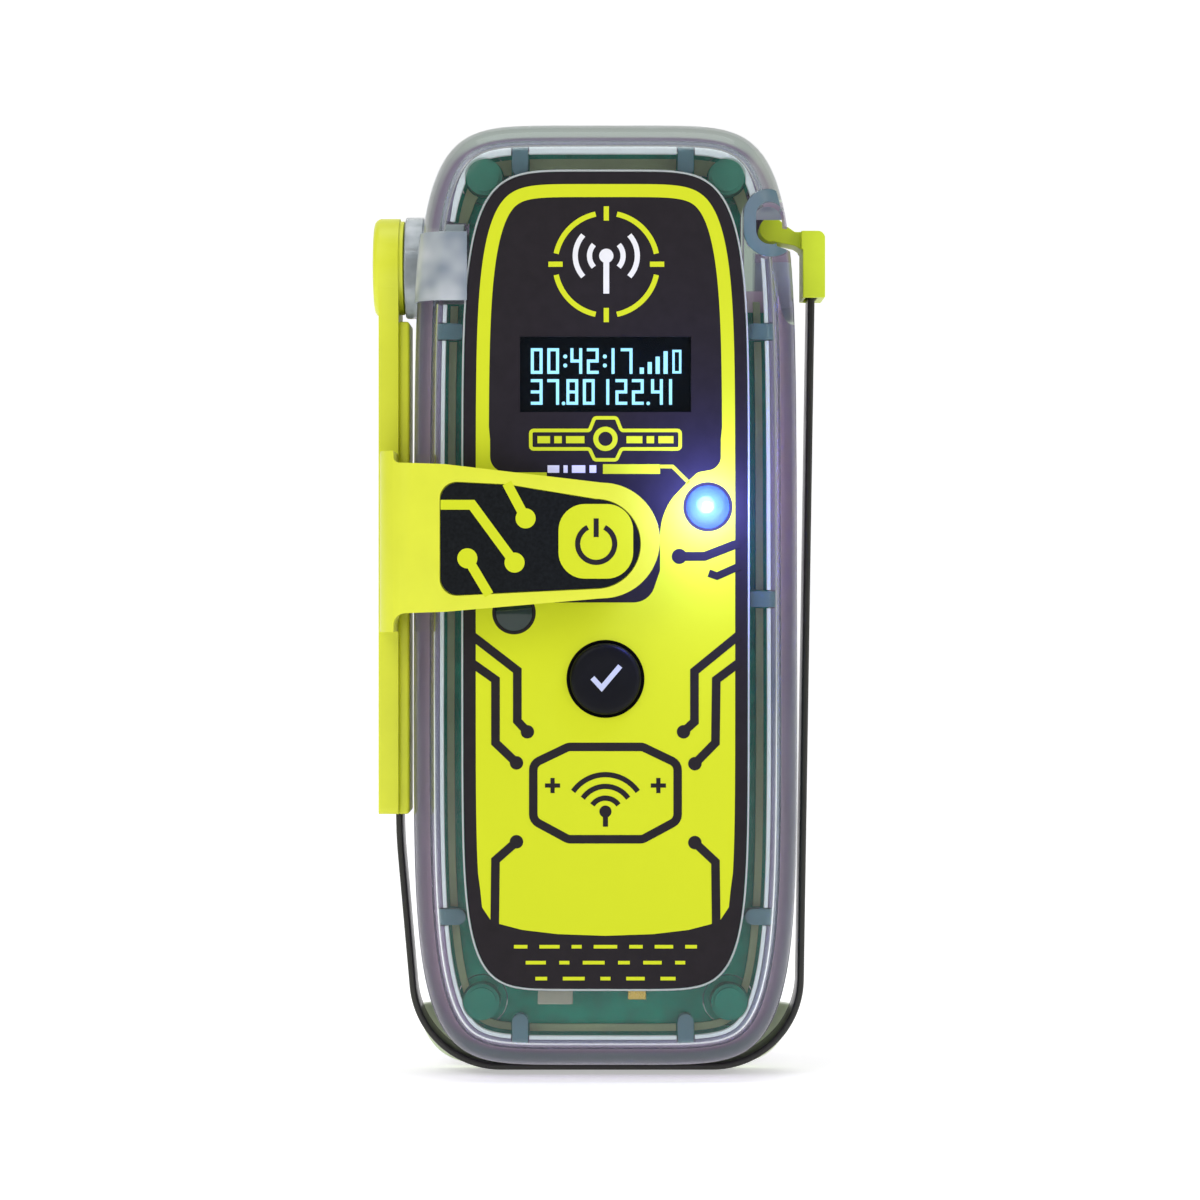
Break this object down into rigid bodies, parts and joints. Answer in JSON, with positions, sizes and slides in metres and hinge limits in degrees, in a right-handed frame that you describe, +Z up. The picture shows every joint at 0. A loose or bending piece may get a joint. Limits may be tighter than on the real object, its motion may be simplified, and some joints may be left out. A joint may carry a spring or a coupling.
{
  "type": "personal locator beacon",
  "caption": "Handheld emergency beacon: clear rounded case, printed face label with display and keys, hinged antenna arm and a strip antenna wrapped round the case.",
  "frame": {"origin": "centre of the flat back face of the rear case", "axes": "+Z up along the case, -Y towards the viewer of the front label, +X to that viewer's right"},
  "size_m": [0.0547, 0.0376, 0.1145],
  "materials": {
    "clear_case": "clear polycarbonate, lightly smoked",
    "clear_lens": "clear moulded lens",
    "lime_plastic": "satin moulded",
    "label_print": "printed polyester label",
    "key_rubber": "satin moulded rubber",
    "strip_coated": "black coated spring steel",
    "board_laminate": "green solder mask",
    "chip_black": "moulded package",
    "white_plastic": "satin moulded",
    "part_ceramic": "fired ceramic",
    "steel": "plated",
    "gold_brass": "plated",
    "cell_sleeve": "printed sleeve over a metal can",
    "wire_red": "insulation",
    "wire_black": "insulation"
  },
  "bodies": {
    "case": {"front_case": "clear_case", "rear_case": "clear_case", "case_seal": "key_rubber", "case_screw_1": "steel", "case_screw_2": "steel", "case_screw_3": "steel", "case_screw_4": "steel", "front_label": "label_print", "rear_label": "label_print", "display_window": "clear_lens", "display_panel": "chip_black", "display_frame": "white_plastic", "strobe_lens": "clear_lens", "infrared_lens": "clear_lens", "main_board": "board_laminate", "on_switch": "chip_black", "test_switch": "chip_black", "strobe_lamp": "part_ceramic", "infrared_lamp": "chip_black", "satellite_antenna": "part_ceramic", "ceramic_filter": "part_ceramic", "tantalum_capacitor": "gold_brass", "processor_chip": "chip_black", "crystal": "steel", "shield_can": "steel", "battery_connector": "white_plastic", "antenna_contact": "gold_brass", "battery_cell_1": "cell_sleeve", "battery_cell_2": "cell_sleeve", "battery_holder": "white_plastic", "battery_lead_red": "wire_red", "battery_lead_black": "wire_black", "hinge_barrel": "clear_case", "hinge_seal": "key_rubber"},
    "arm": {"antenna_arm": "lime_plastic", "arm_inlay": "label_print", "hinge_shaft": "steel", "hinge_ring": "steel", "strip_root": "strip_coated"},
    "foot": {"strip_foot": "strip_coated"},
    "side": {"strip_side": "strip_coated", "antenna_tip": "lime_plastic"},
    "left_link_1_body": {"left_link_1": "strip_coated"},
    "left_link_2_body": {"left_link_2": "strip_coated"},
    "left_link_3_body": {"left_link_3": "strip_coated"},
    "left_link_4_body": {"left_link_4": "strip_coated"},
    "right_link_1_body": {"right_link_1": "strip_coated"},
    "right_link_2_body": {"right_link_2": "strip_coated"},
    "right_link_3_body": {"right_link_3": "strip_coated"},
    "right_link_4_body": {"right_link_4": "strip_coated"},
    "on_key": {"on_button": "key_rubber"},
    "test_key": {"test_button": "key_rubber"}
  },
  "joints": [
    {"name": "arm_hinge", "type": "hinge", "parent": "case", "child": "arm", "pos_m": [-0.024, -0.021, 0.0404], "axis": [-1, 0, 0], "range_deg": [0, 180]},
    {"name": "strip_unwrap", "type": "hinge", "parent": "arm", "child": "foot", "pos_m": [-0.02078, -0.021, -0.05483], "axis": [0, 1, 0], "range_deg": [0, 90]},
    {"name": "left_bend_1", "type": "hinge", "parent": "arm", "child": "left_link_1_body", "pos_m": [-0.02322, -0.021, -0.04854], "axis": [0, 1, 0], "range_deg": [0, 18]},
    {"name": "left_bend_2", "type": "hinge", "parent": "arm", "child": "left_link_2_body", "pos_m": [-0.02285, -0.021, -0.05012], "axis": [0, 1, 0], "range_deg": [0, 36]},
    {"name": "left_bend_3", "type": "hinge", "parent": "arm", "child": "left_link_3_body", "pos_m": [-0.02233, -0.021, -0.05169], "axis": [0, 1, 0], "range_deg": [0, 54]},
    {"name": "left_bend_4", "type": "hinge", "parent": "arm", "child": "left_link_4_body", "pos_m": [-0.02164, -0.021, -0.05325], "axis": [0, 1, 0], "range_deg": [0, 72]},
    {"name": "right_bend_1", "type": "hinge", "parent": "foot", "child": "right_link_1_body", "pos_m": [0.01468, -0.021, -0.0567], "axis": [0, 1, 0], "range_deg": [0, 17.82]},
    {"name": "right_bend_2", "type": "hinge", "parent": "foot", "child": "right_link_2_body", "pos_m": [0.01636, -0.021, -0.05644], "axis": [0, 1, 0], "range_deg": [0, 35.64]},
    {"name": "right_bend_3", "type": "hinge", "parent": "foot", "child": "right_link_3_body", "pos_m": [0.01803, -0.021, -0.05599], "axis": [0, 1, 0], "range_deg": [0, 53.46]},
    {"name": "right_bend_4", "type": "hinge", "parent": "foot", "child": "right_link_4_body", "pos_m": [0.01971, -0.021, -0.05536], "axis": [0, 1, 0], "range_deg": [0, 71.28]},
    {"name": "side_unwrap", "type": "hinge", "parent": "foot", "child": "side", "pos_m": [0.02139, -0.021, -0.05452], "axis": [0, 1, 0], "range_deg": [0, 89.1]},
    {"name": "on_press", "type": "slide", "parent": "case", "child": "on_key", "axis": [0, 1, 0], "range_m": [0, 0.0004], "stiffness_N_per_m": 2000, "springref_m": -0.0001},
    {"name": "test_press", "type": "slide", "parent": "case", "child": "test_key", "axis": [0, 1, 0], "range_m": [0, 0.0004], "stiffness_N_per_m": 2000, "springref_m": -0.0001}
  ],
  "couplings": [
    {"joint": "left_bend_1", "follows": "strip_unwrap", "ratio": 0.2},
    {"joint": "left_bend_2", "follows": "strip_unwrap", "ratio": 0.4},
    {"joint": "left_bend_3", "follows": "strip_unwrap", "ratio": 0.6},
    {"joint": "left_bend_4", "follows": "strip_unwrap", "ratio": 0.8},
    {"joint": "right_bend_1", "follows": "strip_unwrap", "ratio": 0.198},
    {"joint": "right_bend_2", "follows": "strip_unwrap", "ratio": 0.396},
    {"joint": "right_bend_3", "follows": "strip_unwrap", "ratio": 0.594},
    {"joint": "right_bend_4", "follows": "strip_unwrap", "ratio": 0.792},
    {"joint": "side_unwrap", "follows": "strip_unwrap", "ratio": 0.99}
  ]
}
